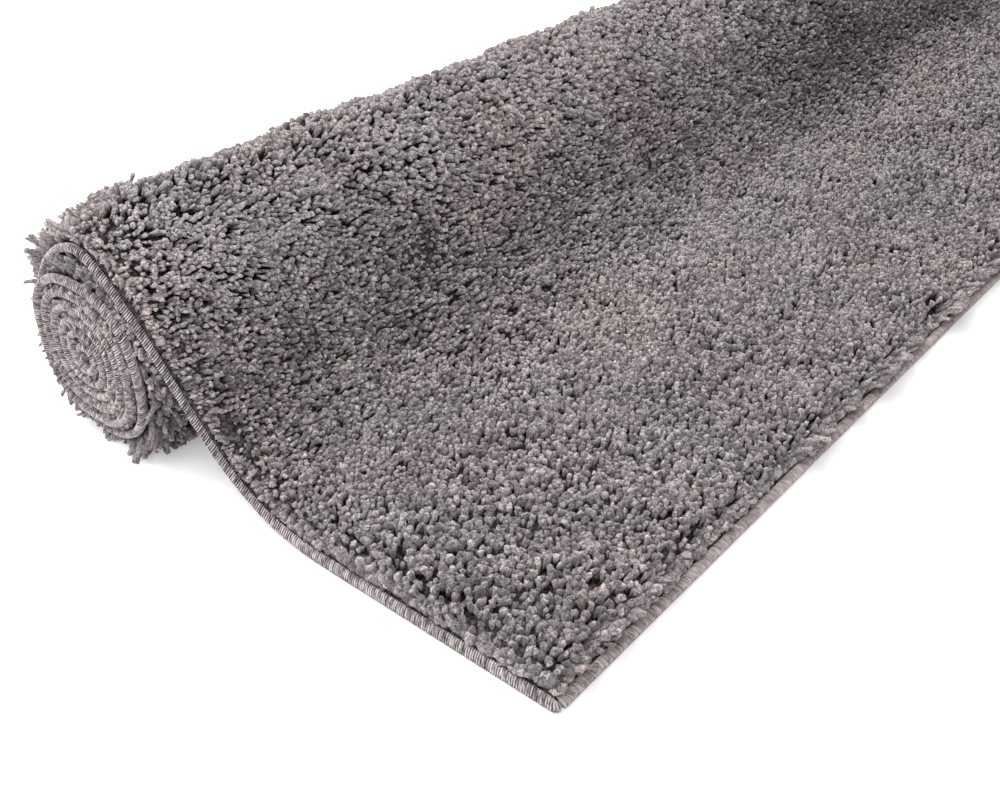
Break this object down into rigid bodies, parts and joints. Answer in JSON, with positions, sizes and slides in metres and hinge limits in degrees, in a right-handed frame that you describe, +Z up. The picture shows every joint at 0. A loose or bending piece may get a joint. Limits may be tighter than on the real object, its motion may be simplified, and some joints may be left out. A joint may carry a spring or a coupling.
{
  "type": "part-rolled shag rug",
  "caption": "Grey shag pile rug with overlocked edges, part rolled with the pile outwards, its loose end lying flat.",
  "frame": {"origin": "on the floor, under the middle of the rug's box", "axes": "+X along the roll, +Y from the loose front end to the roll, +Z up"},
  "size_m": [1.609, 0.5252, 0.197],
  "materials": {
    "pile": "matt heathered shag pile, cut yarn ends",
    "side_binding": "thick overlocked yarn",
    "front_binding": "fine flat overlocked yarn"
  },
  "bodies": {
    "root": {"rug": "pile", "binding_left": "side_binding", "binding_right": "side_binding", "binding_front": "front_binding"}
  },
  "joints": []
}
